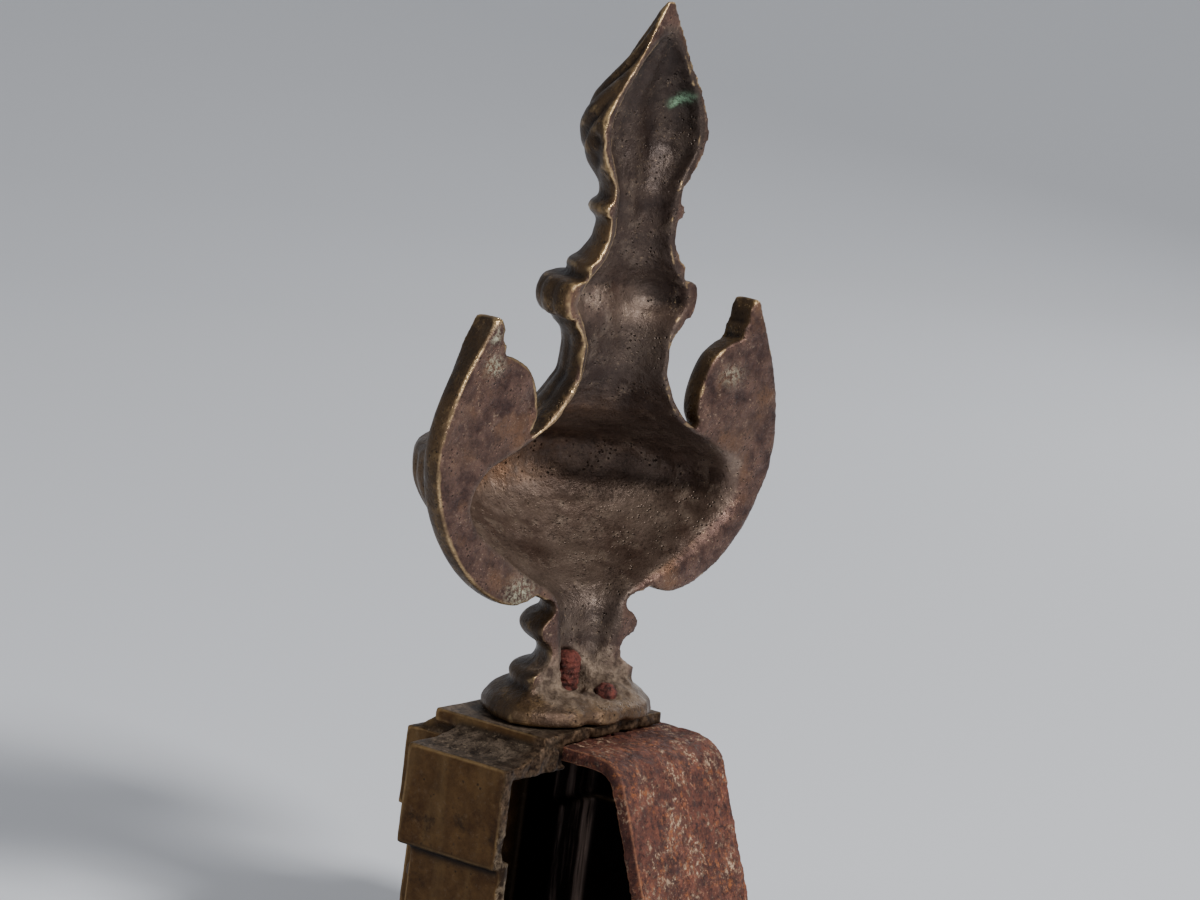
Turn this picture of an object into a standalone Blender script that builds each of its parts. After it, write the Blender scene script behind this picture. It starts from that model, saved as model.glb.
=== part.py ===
"""Urn finial of a fireplace ornament: hollow-backed brass urn bolted to a
hollow brass pedestal over a bent iron strap. Metres, +Z up, front faces -Y."""
import math
import bpy
import bmesh

for old in list(bpy.data.objects):
    bpy.data.objects.remove(old, do_unlink=True)

MM = 0.001
GAP = 0.3 * MM

# Pedestal sizes
PED_H = 62.0 * MM
PED_BACK_Y = 7.9 * MM
WALL = 2.6 * MM
PLATE_HALF = 22.9 * MM
PLATE_FRONT = 21.3 * MM
PLATE_T = 2.7 * MM
PLATE_BROKEN_Y = 5.7 * MM + 0.9 * MM
PLATE_CORNER_LEFT = 5.6 * MM
ROOF_DROP = 2.2 * MM
BLOCK_HALF = 36.6 * MM
BLOCK_FRONT = 17.5 * MM
BLOCK_H = 21.6 * MM
BREAK_HALF = 22.8 * MM
BREAK_FRONT = 27.9 * MM
BREAK_H = 17.2 * MM
DADO_IN = 2.6 * MM
BASE_OUT = 0.9 * MM
BASE_H = 8.0 * MM

# Iron strap sizes
STRAP_HALF = 20.0 * MM
STRAP_T = 3.4 * MM
STRAP_FRONT_Y = -12.0 * MM
STRAP_BEND_Y = 14.6 * MM
STRAP_X = -6.0 * MM
STRAP_BEND_R = 5.0 * MM
STRAP_SLOPE = 21.0

# Studs and nut
STUD_R = 2.85 * MM
STUD_Y = -4.6 * MM
STUD_TOP = 13.4 * MM
HOLE_OVER = 3.3 * MM
PIN_R = 2.5 * MM
PIN_X = -4.3 * MM
PIN_Y = 3.2 * MM
PIN_TOP = 7.4 * MM
NUT_R = 5.0 * MM
NUT_T = 3.4 * MM

# Urn sizes, heights counted from the top of the pedestal plate
URN_TURN = -9.0
FOOT_R = 21.2 * MM
FOOT_BACK = 9.2 * MM
FOOT_TUCK = 0.6 * MM
FOOT_EDGE_H = 3.0 * MM
KNOP_R = 15.5 * MM
KNOP_Z = 19.3 * MM
STEM_R = 11.0 * MM
BOWL_R = 44.2 * MM
BOWL_Z = 52.0 * MM
BOWL_DEPTH = 0.9
NECK_R = 14.2 * MM
COLLAR_R = 21.0 * MM
COLLAR_Z = 89.5 * MM
BEAD_R = 12.6 * MM
BEAD_Z = 108.5 * MM
FLAME_R = 16.4 * MM
FLAME_Z = 125.0 * MM
TIP_Z = 152.8 * MM
COLS = 44
GADROONS = 22
GADROON_DEEP = 0.9 * MM
LOBES = 11
LOBE_DEEP = 0.8 * MM
FLUTES = 5
FLUTE_DEEP = 1.5 * MM
FLUTE_TWIST = 2.2
HANDLE_T = 6.4 * MM
HANDLE_PROUD = 0.25 * MM
LEAF_TIP_SHIFT = {"right": -2.4 * MM, "left": 0.8 * MM}

# Moves the origin to the middle of the whole part's footprint
CENTRE_X = 0.2362 * MM
CENTRE_Y = -1.5795 * MM

PLATE_TOP = PED_H
PLATE_UNDER = PLATE_TOP - PLATE_T
ROOF_Z = PLATE_UNDER - ROOF_DROP
BLOCK_BOT = ROOF_Z - BLOCK_H
STRAP_TOP = PLATE_UNDER - GAP
STRAP_UNDER = STRAP_TOP - STRAP_T
URN_Z = PLATE_TOP + GAP


def material(name, colour, metallic, rough):
    mat = bpy.data.materials.new(name)
    mat.use_nodes = True
    bsdf = mat.node_tree.nodes["Principled BSDF"]
    bsdf.inputs["Base Color"].default_value = (colour[0], colour[1], colour[2], 1.0)
    bsdf.inputs["Metallic"].default_value = metallic
    bsdf.inputs["Roughness"].default_value = rough
    return mat


def make_object(name, verts, faces, smooth=False):
    mesh = bpy.data.meshes.new(name)
    mesh.from_pydata(verts, [], faces)
    bm = bmesh.new()
    bm.from_mesh(mesh)
    bmesh.ops.remove_doubles(bm, verts=bm.verts, dist=0.00001)
    bmesh.ops.recalc_face_normals(bm, faces=bm.faces)
    for face in bm.faces:
        face.smooth = smooth
    bm.to_mesh(mesh)
    bm.free()
    obj = bpy.data.objects.new(name, mesh)
    bpy.context.scene.collection.objects.link(obj)
    return obj


def box(name, x0, x1, y0, y1, z0, z1):
    verts = [(x, y, z) for z in (z0, z1) for y in (y0, y1) for x in (x0, x1)]
    faces = [(0, 2, 3, 1), (4, 5, 7, 6), (0, 1, 5, 4), (2, 6, 7, 3), (0, 4, 6, 2), (1, 3, 7, 5)]
    return make_object(name, verts, faces)


def frustum(name, low, high, z0, z1):
    verts = [(x, y, z0) for y in low[2:] for x in low[:2]]
    verts += [(x, y, z1) for y in high[2:] for x in high[:2]]
    faces = [(0, 2, 3, 1), (4, 5, 7, 6), (0, 1, 5, 4), (2, 6, 7, 3), (0, 4, 6, 2), (1, 3, 7, 5)]
    return make_object(name, verts, faces)


def cylinder(name, x, y, radius, z0, z1, sides=20, turn=0.05):
    verts = []
    for z in (z0, z1):
        for i in range(sides):
            a = turn + 2 * math.pi * i / sides
            verts.append((x + radius * math.cos(a), y + radius * math.sin(a), z))
    faces = [tuple(range(sides - 1, -1, -1)), tuple(range(sides, 2 * sides))]
    for i in range(sides):
        j = (i + 1) % sides
        faces.append((i, j, sides + j, sides + i))
    return make_object(name, verts, faces)


def carve(target, tool, kind):
    mod = target.modifiers.new(kind.lower() + "_" + tool.name, "BOOLEAN")
    mod.operation = kind
    mod.solver = "EXACT"
    mod.object = tool
    tool.hide_render = True
    tool.hide_viewport = False
    tool.display_type = "WIRE"


def smooth_path(points, steps):
    out = []
    n = len(points)
    for i in range(n - 1):
        p0 = points[max(i - 1, 0)]
        p1 = points[i]
        p2 = points[i + 1]
        p3 = points[min(i + 2, n - 1)]
        for s in range(steps):
            t = s / steps
            row = []
            for k in range(len(p1)):
                a = 2 * p1[k] + (p2[k] - p0[k]) * t
                a += (2 * p0[k] - 5 * p1[k] + 4 * p2[k] - p3[k]) * t * t
                a += (3 * p1[k] - p0[k] - 3 * p2[k] + p3[k]) * t * t * t
                row.append(a / 2)
            out.append(tuple(row))
    out.append(tuple(points[-1]))
    return out


def lift(obj):
    turn = math.radians(URN_TURN)
    c = math.cos(turn)
    s = math.sin(turn)
    for v in obj.data.vertices:
        x, y, z = v.co
        v.co = (x * c - y * s, x * s + y * c, z + URN_Z)


# Urn body: half-round front, flat back at the cutting plane
def body_profile():
    f = FOOT_R
    rows = [
        (0.0, f - 0.6 * MM), (0.7 * MM, f), (2.2 * MM, f), (FOOT_EDGE_H, f - 0.9 * MM),
        (3.4 * MM, f - 1.6 * MM), (4.6 * MM, f - 2.4 * MM), (5.8 * MM, f - 3.9 * MM),
        (6.6 * MM, f - 5.6 * MM), (7.3 * MM, f - 5.3 * MM), (8.6 * MM, f - 4.9 * MM),
        (9.8 * MM, f - 5.6 * MM), (10.7 * MM, STEM_R + 2.2 * MM), (12.4 * MM, STEM_R),
        (14.6 * MM, STEM_R - 0.2 * MM), (KNOP_Z - 3.1 * MM, STEM_R + 1.4 * MM),
        (KNOP_Z - 1.8 * MM, KNOP_R - 1.0 * MM), (KNOP_Z, KNOP_R), (KNOP_Z + 1.8 * MM, KNOP_R - 1.1 * MM),
        (KNOP_Z + 2.9 * MM, STEM_R + 1.2 * MM), (24.2 * MM, STEM_R + 0.4 * MM),
    ]
    drop = BOWL_Z - 25.6 * MM
    for i in range(9):
        t = i / 9
        r = STEM_R + 1.2 * MM + (BOWL_R - STEM_R - 1.2 * MM) * math.sin(t * math.pi / 2) ** 0.92
        rows.append((25.6 * MM + drop * (1 - math.cos(t * math.pi / 2)) ** 0.62 * 0.985, r))
    rows += [
        (BOWL_Z, BOWL_R), (BOWL_Z + 2.4 * MM, BOWL_R - 0.1 * MM), (BOWL_Z + 3.8 * MM, BOWL_R - 1.4 * MM),
        (BOWL_Z + 4.6 * MM, BOWL_R - 4.6 * MM), (BOWL_Z + 6.0 * MM, 33.5 * MM), (60.2 * MM, 28.0 * MM),
        (63.4 * MM, 22.3 * MM), (67.8 * MM, 17.8 * MM), (73.4 * MM, NECK_R + 0.3 * MM),
        (79.6 * MM, NECK_R), (83.4 * MM, 15.4 * MM), (84.4 * MM, 17.0 * MM), (85.6 * MM, 17.0 * MM),
    ]
    for i in range(7):
        a = math.radians(-62 + i * 124 / 6)
        rows.append((COLLAR_Z + 4.2 * MM * math.sin(a), COLLAR_R - 3.0 * MM + 3.0 * MM * math.cos(a)))
    rows += [
        (94.6 * MM, 14.6 * MM), (95.8 * MM, 15.4 * MM), (97.2 * MM, 14.9 * MM), (98.6 * MM, 12.9 * MM),
        (101.8 * MM, 10.8 * MM), (105.6 * MM, 10.3 * MM), (BEAD_Z - 1.2 * MM, BEAD_R - 0.6 * MM),
        (BEAD_Z, BEAD_R), (BEAD_Z + 1.2 * MM, BEAD_R - 0.7 * MM), (111.0 * MM, 10.5 * MM),
        (114.2 * MM, 11.2 * MM), (117.0 * MM, 13.6 * MM), (120.6 * MM, 15.7 * MM), (FLAME_Z, FLAME_R),
        (128.4 * MM, 15.7 * MM), (131.6 * MM, 14.2 * MM), (134.8 * MM, 11.9 * MM), (138.4 * MM, 9.2 * MM),
        (142.2 * MM, 6.9 * MM), (146.0 * MM, 4.7 * MM), (149.8 * MM, 2.7 * MM), (TIP_Z, 0.7 * MM),
    ]
    return rows


def body_depth(z):
    rise = min(1.0, max(0.0, (z - 24 * MM) / (12 * MM)))
    fall = min(1.0, max(0.0, (68 * MM - z) / (12 * MM)))
    return 1.0 - (1.0 - BOWL_DEPTH) * min(rise, fall)


def body_relief(z, angle):
    if 30 * MM < z < BOWL_Z + 3 * MM:
        lobe = abs(math.sin(GADROONS * angle))
        fade = min(1.0, (z - 30 * MM) / (7 * MM))
        return -GADROON_DEEP * (1 - lobe) * fade
    if abs(z - COLLAR_Z) < 4.0 * MM:
        lobe = abs(math.sin(LOBES * angle))
        return -LOBE_DEEP * (1 - lobe) ** 2
    if z > 114 * MM:
        turn = FLUTE_TWIST * (z - 114 * MM) / (TIP_Z - 114 * MM)
        lobe = abs(math.sin(FLUTES * (angle + turn)))
        edge = min(1.0, abs(math.sin(angle)) * 3.0)
        fade = min(1.0, (z - 114 * MM) / (5 * MM)) * min(1.0, (TIP_Z - z) / (14 * MM))
        return -FLUTE_DEEP * (1 - lobe) ** 1.3 * fade * edge
    return 0.0


def half_round(name, rows, depth_of, relief, y_back, columns):
    verts = []
    for z, r in rows:
        for i in range(columns + 1):
            a = math.pi * i / columns
            q = r + relief(z, a)
            verts.append((q * math.cos(a), y_back - q * depth_of(z) * math.sin(a), z))
    faces = []
    w = columns + 1
    for j in range(len(rows) - 1):
        for i in range(columns):
            p = j * w + i
            faces.append((p, p + 1, p + w + 1, p + w))
        faces.append((j * w + columns, j * w, (j + 1) * w, (j + 1) * w + columns))
    faces.append(tuple(range(columns, -1, -1)))
    top = (len(rows) - 1) * w
    faces.append(tuple(range(top, top + w)))
    return make_object(name, verts, faces, smooth=True)


urn = half_round("urn", body_profile(), body_depth, body_relief, 0.0, COLS)
lift(urn)
urn.data.materials.append(material("aged_brass", (0.26, 0.17, 0.09), 1.0, 0.45))


# Back of the foot, bulging behind the cutting plane
def foot_back():
    rows = [
        (0.12 * MM, 0.97, 0.96), (0.8 * MM, 1.0, 1.0), (2.2 * MM, 1.0, 1.0), (3.0 * MM, 0.97, 0.90),
        (3.5 * MM, 0.95, 0.86), (4.6 * MM, 0.88, 0.62), (5.6 * MM, 0.80, 0.36), (6.5 * MM, 0.70, 0.10),
    ]
    n = 14
    verts = []
    for z, kx, ky in rows:
        for i in range(n + 1):
            a = math.pi * i / n
            y = (FOOT_BACK * ky + FOOT_TUCK) * math.sin(a) - FOOT_TUCK
            verts.append((FOOT_R * kx * 0.99 * math.cos(a), y, z))
        verts.append((-FOOT_R * kx * 0.93, -3 * FOOT_TUCK, z))
        verts.append((FOOT_R * kx * 0.93, -3 * FOOT_TUCK, z))
    faces = []
    w = n + 3
    for j in range(len(rows) - 1):
        for i in range(w):
            p = j * w + i
            q = j * w + (i + 1) % w
            faces.append((p, q, q + w, p + w))
    faces.append(tuple(range(w - 1, -1, -1)))
    faces.append(tuple(range((len(rows) - 1) * w, len(rows) * w)))
    return make_object("foot_back_form", verts, faces, smooth=True)


foot = foot_back()
lift(foot)
carve(urn, foot, "UNION")

# Holes of the stud and the pin through the foot
stud_hole = cylinder("stud_hole_in_urn", 0.0, STUD_Y, STUD_R + GAP, PLATE_UNDER - STUD_TOP, URN_Z + STUD_TOP + HOLE_OVER)
pin_hole = cylinder("pin_hole_in_urn", PIN_X, PIN_Y, PIN_R + GAP, PLATE_UNDER - STUD_TOP, URN_Z + STUD_TOP + HOLE_OVER)
carve(urn, stud_hole, "DIFFERENCE")
carve(urn, pin_hole, "DIFFERENCE")

# Leaf-scroll handles, flat on the back and rounded toward the front
OUTER_EDGE = [
    (39.6, 88.8), (40.8, 88.2), (42.4, 84.8), (47.6, 76.0), (51.0, 67.0), (52.5, 57.5),
    (50.6, 48.0), (45.0, 38.0), (36.4, 30.0), (27.0, 25.9), (20.0, 26.4), (15.8, 29.0),
]
INNER_EDGE = [
    (13.6, 33.4), (17.6, 39.0), (23.0, 45.0), (27.4, 51.0), (28.4, 58.5), (25.2, 64.5), (25.6, 71.0), (29.0, 76.8), (34.0, 79.6),
    (37.0, 80.8), (37.4, 84.4),
]


def handle(name, side, tip_shift):
    ring = []
    for x, z in smooth_path(OUTER_EDGE, 3) + smooth_path(INNER_EDGE, 3):
        high = min(1.0, max(0.0, (z - 58.0) / 30.0))
        ring.append((x, z + tip_shift / MM * high))
    layers = [(0.0, 0.0), (0.55, 0.0), (0.85, 0.9), (1.0, 2.4)]
    n = len(ring)
    normals = []
    for i in range(n):
        ax, az = ring[i - 1]
        bx, bz = ring[(i + 1) % n]
        length = math.hypot(bx - ax, bz - az)
        normals.append(((bz - az) / length, -(bx - ax) / length))
    area = sum(ring[i - 1][0] * ring[i][1] - ring[i][0] * ring[i - 1][1] for i in range(n))
    sign = 1.0 if area > 0 else -1.0
    verts = []
    for depth, inset in layers:
        for i in range(n):
            pull = sign * inset * min(1.0, max(0.12, (84.0 - ring[i][1]) / 8.0))
            x = ring[i][0] - normals[i][0] * pull
            z = ring[i][1] - normals[i][1] * pull
            verts.append((side * x * MM, HANDLE_PROUD - depth * HANDLE_T, z * MM))
    faces = []
    for j in range(len(layers) - 1):
        for i in range(n):
            k = (i + 1) % n
            faces.append((j * n + i, j * n + k, (j + 1) * n + k, (j + 1) * n + i))
    faces.append(tuple(range(n)))
    faces.append(tuple(range((len(layers) - 1) * n, len(layers) * n)))
    return make_object(name, verts, faces, smooth=True)


for tag, side in (("right", 1.0), ("left", -1.0)):
    grip = handle("handle_form_" + tag, side, LEAF_TIP_SHIFT[tag])
    lift(grip)
    carve(urn, grip, "UNION")

# Hollow back: opening at the cutting plane and the deeper shape inside
HOLLOW = [
    (10.2, 5.4, 3.4), (13.0, 7.2, 3.8), (19.0, 8.4, 4.6), (24.0, 8.8, 6.4), (27.2, 12.0, 10.4),
    (30.0, 17.2, 16.6), (33.6, 24.2, 24.8), (37.6, 31.2, 31.4), (41.6, 37.2, 36.4), (46.0, 41.0, 39.8),
    (50.0, 40.8, 40.8), (53.6, 38.0, 41.0), (55.6, 35.0, 37.4), (57.2, 31.8, 30.6), (60.4, 25.0, 22.0),
    (63.6, 19.2, 15.6), (68.0, 15.2, 11.8), (73.6, 12.2, 9.4), (80.0, 12.0, 8.4), (85.0, 14.0, 7.4),
    (88.6, 17.4, 7.8), (92.0, 16.0, 8.8), (95.4, 12.2, 7.6), (99.0, 9.4, 6.4), (104.0, 8.3, 5.4),
    (112.0, 8.4, 4.8), (116.6, 10.6, 5.4), (121.0, 13.0, 6.0), (126.0, 13.6, 6.2), (131.0, 12.0, 5.4),
    (136.0, 8.8, 4.0), (141.0, 5.2, 2.4), (145.4, 1.4, 0.8),
]


def hollow_tool():
    n = 14
    verts = []
    for z, lip, deep in HOLLOW:
        for i in range(n + 1):
            a = math.pi * i / n
            r = (lip + (deep - lip) * math.sin(a) ** 2) * MM
            verts.append((r * math.cos(a), -r * body_depth(z * MM) * math.sin(a), z * MM))
        verts.append((-lip * MM, 10 * MM, z * MM))
        verts.append((lip * MM, 10 * MM, z * MM))
    w = n + 3
    faces = []
    for j in range(len(HOLLOW) - 1):
        for i in range(w):
            p = j * w + i
            q = j * w + (i + 1) % w
            faces.append((p, q, q + w, p + w))
    faces.append(tuple(range(w - 1, -1, -1)))
    faces.append(tuple(range((len(HOLLOW) - 1) * w, len(HOLLOW) * w)))
    return make_object("hollow_tool", verts, faces, smooth=True)


hollow = hollow_tool()
lift(hollow)
carve(urn, hollow, "DIFFERENCE")

# Pedestal: plate, sloping roof, block with projecting front, recessed dado, plain base
brass_low = material("olive_brass", (0.24, 0.18, 0.09), 1.0, 0.5)
B = PED_BACK_Y
pedestal = box("pedestal", -BLOCK_HALF, BLOCK_HALF, -BLOCK_FRONT, B, BLOCK_BOT, ROOF_Z)
pedestal.data.materials.append(brass_low)
break_top = ROOF_Z - 0.5 * MM
break_bot = break_top - BREAK_H
dado_half = BLOCK_HALF - DADO_IN
dado_front = BLOCK_FRONT - DADO_IN * 0.8
forms = [
    box("break_form", -BREAK_HALF, BREAK_HALF, -BREAK_FRONT, 0.0, break_bot, break_top),
    frustum(
        "roof_form",
        (-BLOCK_HALF + 1.2 * MM, BLOCK_HALF - 1.2 * MM, -BLOCK_FRONT + 1.0 * MM, B),
        (-PLATE_HALF - 0.6 * MM, PLATE_HALF + 0.6 * MM, -BLOCK_FRONT + 3.0 * MM, B),
        ROOF_Z - 1.0 * MM,
        PLATE_UNDER + 0.4 * MM,
    ),
    box("plate_form", -PLATE_HALF, PLATE_HALF, -PLATE_FRONT, B, PLATE_UNDER, PLATE_TOP),
    frustum(
        "break_roof_form",
        (-BREAK_HALF + 0.8 * MM, BREAK_HALF - 0.8 * MM, -BREAK_FRONT + 1.0 * MM, 0.0),
        (-PLATE_HALF + 1.5 * MM, PLATE_HALF - 1.5 * MM, -PLATE_FRONT - 0.8 * MM, 0.0),
        break_top - 0.8 * MM,
        PLATE_UNDER + 0.5 * MM,
    ),
    box("dado_form", -dado_half, dado_half, -dado_front, B, BASE_H - 1 * MM, BLOCK_BOT + 1 * MM),
    box(
        "dado_break_form",
        -BREAK_HALF + 1.9 * MM,
        BREAK_HALF - 1.9 * MM,
        -BREAK_FRONT + 2.2 * MM,
        0.0,
        BASE_H - 1 * MM,
        break_bot + 1 * MM,
    ),
    box("base_form", -BLOCK_HALF - BASE_OUT, BLOCK_HALF + BASE_OUT, -BLOCK_FRONT - BASE_OUT, B, 0.0, BASE_H),
    box(
        "base_break_form",
        -BREAK_HALF - BASE_OUT,
        BREAK_HALF + BASE_OUT,
        -BREAK_FRONT - BASE_OUT,
        0.0,
        0.0,
        BASE_H - 0.6 * MM,
    ),
    frustum(
        "base_slope_form",
        (-BLOCK_HALF - 0.2 * MM, BLOCK_HALF + 0.2 * MM, -BLOCK_FRONT - 0.2 * MM, B),
        (-dado_half - 0.3 * MM, dado_half + 0.3 * MM, -dado_front - 0.3 * MM, B),
        BASE_H - 0.3 * MM,
        BASE_H + 2.6 * MM,
    ),
]
for form in forms:
    carve(pedestal, form, "UNION")
cavity_half = dado_half - WALL - 0.4 * MM
cavity_top = ROOF_Z - WALL
tools = [
    box("cavity_tool", -cavity_half, cavity_half, -dado_front + WALL, B + 5 * MM, -2 * MM, BLOCK_BOT + 2 * MM),
    box(
        "block_cavity_tool",
        -BLOCK_HALF + WALL + 0.4 * MM,
        BLOCK_HALF - WALL - 0.4 * MM,
        -BLOCK_FRONT + WALL,
        B + 6 * MM,
        BLOCK_BOT + 1.6 * MM,
        cavity_top,
    ),
    box(
        "break_cavity_tool",
        -BREAK_HALF + 1.9 * MM + WALL,
        BREAK_HALF - 1.9 * MM - WALL,
        -BREAK_FRONT + 2.2 * MM + WALL,
        0.0,
        -3 * MM,
        cavity_top - 1 * MM,
    ),
    box(
        "strap_seat_tool",
        STRAP_X - STRAP_HALF - GAP,
        STRAP_X + STRAP_HALF + GAP,
        STRAP_FRONT_Y - GAP,
        B + 7 * MM,
        cavity_top - 2 * MM,
        PLATE_UNDER,
    ),
    box(
        "broken_edge_tool",
        -PLATE_HALF - 2 * MM,
        PLATE_HALF - PLATE_CORNER_LEFT,
        PLATE_BROKEN_Y,
        B + 8 * MM,
        PLATE_UNDER - 4 * MM,
        PLATE_TOP + 1 * MM,
    ),
    cylinder("stud_hole_in_plate", 0.0, STUD_Y, STUD_R + GAP, PED_H - 12 * MM, PED_H + 2 * MM),
    cylinder("pin_hole_in_plate", PIN_X, PIN_Y, PIN_R + GAP, PED_H - 12 * MM, PED_H + 2 * MM),
]
for tool in tools:
    carve(pedestal, tool, "DIFFERENCE")


# Iron strap: flat under the plate, bent down behind, cut level with the base
def strap_line():
    slope = math.radians(STRAP_SLOPE)
    mid_z = (STRAP_TOP + STRAP_UNDER) / 2
    line = [(STRAP_FRONT_Y, mid_z, 0.0), (STRAP_BEND_Y, mid_z, 0.0)]
    radius = STRAP_BEND_R + STRAP_T / 2
    sweep = math.pi / 2 - slope
    for i in range(1, 9):
        a = sweep * i / 8
        line.append((STRAP_BEND_Y + radius * math.sin(a), mid_z - radius * (1 - math.cos(a)), a))
    y, z, a = line[-1]
    line.append((y + z / math.tan(sweep), 0.0, a))
    return line


def strap_solid():
    outer = []
    inner = []
    line = strap_line()
    for k, (y, z, a) in enumerate(line):
        dy = math.sin(a) * STRAP_T / 2
        dz = math.cos(a) * STRAP_T / 2
        if k == len(line) - 1:
            half = STRAP_T / 2 / math.sin(a)
            outer.append((y + half, 0.0))
            inner.append((y - half, 0.0))
        else:
            outer.append((y + dy, z + dz))
            inner.append((y - dy, z - dz))
    ring = outer + inner[::-1]
    n = len(ring)
    verts = [(STRAP_X + x, p[0], p[1]) for x in (-STRAP_HALF, STRAP_HALF) for p in ring]
    m = len(outer)
    faces = []
    for j in (0, 1):
        for i in range(m - 1):
            q = (j * n + i, j * n + i + 1, j * n + n - 2 - i, j * n + n - 1 - i)
            faces.append(q)
    for i in range(n):
        k = (i + 1) % n
        faces.append((i, k, n + k, n + i))
    return make_object("iron_strap", verts, faces)


strap = strap_solid()
strap.data.materials.append(material("rusted_iron", (0.22, 0.09, 0.05), 0.3, 0.85))
strap_stud = cylinder("stud_hole_in_strap", 0.0, STUD_Y, STUD_R + GAP, PED_H - 12 * MM, PED_H + 1 * MM)
strap_pin = cylinder("pin_hole_in_strap", PIN_X, PIN_Y, PIN_R + GAP, PED_H - 12 * MM, PED_H + 1 * MM)
carve(strap, strap_stud, "DIFFERENCE")
carve(strap, strap_pin, "DIFFERENCE")

# Threaded stud, pin and the nut under the strap
rust = material("red_rust", (0.30, 0.08, 0.05), 0.2, 0.9)
stud = cylinder("fixing_stud", 0.0, STUD_Y, STUD_R, STRAP_UNDER - 3.0 * MM, URN_Z + STUD_TOP)
pin = cylinder("locating_pin", PIN_X, PIN_Y, PIN_R, STRAP_UNDER - NUT_T - 1.2 * MM, URN_Z + PIN_TOP)
nut = cylinder(
    "pin_nut", PIN_X, PIN_Y, NUT_R, STRAP_UNDER - GAP - NUT_T, STRAP_UNDER - GAP, sides=6, turn=0.4
)
nut_bore = cylinder("nut_bore", PIN_X, PIN_Y, PIN_R + GAP, PED_H - 20 * MM, PED_H, sides=20)
carve(nut, nut_bore, "DIFFERENCE")
for piece, mat_name in ((stud, "stud_rust"), (pin, "pin_rust"), (nut, "nut_rust")):
    own = rust.copy()
    own.name = mat_name
    piece.data.materials.append(own)

for obj in bpy.context.scene.objects:
    for v in obj.data.vertices:
        v.co.x += CENTRE_X
        v.co.y += CENTRE_Y
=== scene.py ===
import math

import bmesh
import bpy
import numpy as np
from mathutils import Matrix, Vector, noise


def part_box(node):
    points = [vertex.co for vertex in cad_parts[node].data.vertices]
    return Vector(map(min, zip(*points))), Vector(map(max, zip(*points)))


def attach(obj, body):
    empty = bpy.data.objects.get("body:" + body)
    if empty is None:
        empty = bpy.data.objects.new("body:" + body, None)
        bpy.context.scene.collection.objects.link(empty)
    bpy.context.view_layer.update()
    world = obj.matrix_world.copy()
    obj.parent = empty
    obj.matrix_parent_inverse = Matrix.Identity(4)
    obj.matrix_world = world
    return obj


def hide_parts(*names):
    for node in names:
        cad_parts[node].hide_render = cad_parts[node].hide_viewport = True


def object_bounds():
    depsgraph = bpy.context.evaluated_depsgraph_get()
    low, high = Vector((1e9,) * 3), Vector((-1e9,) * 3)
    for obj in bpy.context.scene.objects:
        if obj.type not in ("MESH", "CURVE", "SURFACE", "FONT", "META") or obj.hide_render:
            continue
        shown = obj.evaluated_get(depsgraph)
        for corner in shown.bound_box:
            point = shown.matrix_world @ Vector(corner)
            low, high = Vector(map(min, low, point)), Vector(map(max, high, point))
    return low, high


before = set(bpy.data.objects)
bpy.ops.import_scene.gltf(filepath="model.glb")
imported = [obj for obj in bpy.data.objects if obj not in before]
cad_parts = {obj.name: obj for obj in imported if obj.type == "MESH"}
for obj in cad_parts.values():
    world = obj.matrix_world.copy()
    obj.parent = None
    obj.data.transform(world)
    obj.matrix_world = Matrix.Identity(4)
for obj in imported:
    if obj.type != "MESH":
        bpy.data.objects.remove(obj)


def box_numbers(box):
    return [[float(v) for v in corner] for corner in box]


cad_box = box_numbers(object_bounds())

# Camera
# A long lens behind the open side, looking down by nine and a half degrees and
# rolled by nearly eight, as the part was photographed.
MM = 0.001
CUT_BACK = 7.9
PICTURE_W = 1200.0
PICTURE_H = 900.0
SENSOR_W = 36.0
VIEW_YAW = math.radians(57.5)
VIEW_PITCH = math.radians(9.5)
VIEW_ROLL = math.radians(7.7)
VIEW_FOCAL = 4000.0
VIEW_SCALE = 0.2122
VIEW_SPOT = (578.4, 717.5)
pedestal_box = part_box("pedestal")
CENTRE_X = round((pedestal_box[0][0] + pedestal_box[1][0]) / 2 / MM, 4)
CENTRE_Y = round(pedestal_box[1][1] / MM - CUT_BACK, 4)
PLATE_TOP = round(pedestal_box[1][2] / MM, 4)
right = Vector((math.cos(VIEW_YAW), -math.sin(VIEW_YAW), 0.0))
forward = Vector((
    math.sin(VIEW_YAW) * math.cos(VIEW_PITCH),
    math.cos(VIEW_YAW) * math.cos(VIEW_PITCH),
    -math.sin(VIEW_PITCH),
))
down = forward.cross(right)
rolled_right = math.cos(VIEW_ROLL) * right - math.sin(VIEW_ROLL) * down
rolled_down = math.sin(VIEW_ROLL) * right + math.cos(VIEW_ROLL) * down
axes = []
for axis in (rolled_right, rolled_down, forward):
    axes.append(Vector((-axis.x, -axis.y, axis.z)))
spot = Vector((CENTRE_X, CENTRE_Y, PLATE_TOP))
offset_right = (VIEW_SPOT[0] - PICTURE_W / 2) * VIEW_SCALE
offset_down = (VIEW_SPOT[1] - PICTURE_H / 2) * VIEW_SCALE
eye = spot - axes[0] * offset_right - axes[1] * offset_down - axes[2] * VIEW_FOCAL * VIEW_SCALE
camera_data = bpy.data.cameras.new("view")
camera_data.sensor_width = SENSOR_W
camera_data.lens = VIEW_FOCAL / PICTURE_W * SENSOR_W
camera_data.clip_start = 0.01
camera_data.clip_end = 20.0
camera = bpy.data.objects.new("view", camera_data)
bpy.context.scene.collection.objects.link(camera)
pose = Matrix((axes[0], -axes[1], -axes[2])).transposed().to_4x4()
pose.translation = eye * MM
camera.matrix_world = pose
bpy.context.scene.camera = camera

# Light
# A window light over the open side, a weak light from each side, and an even
# pale sky all round.
LIGHT_AIM = (0.0, 0.0, 0.12)
SKY_COLOUR = (0.70, 0.70, 0.71, 1.0)
SKY_STRENGTH = 0.44


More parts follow.
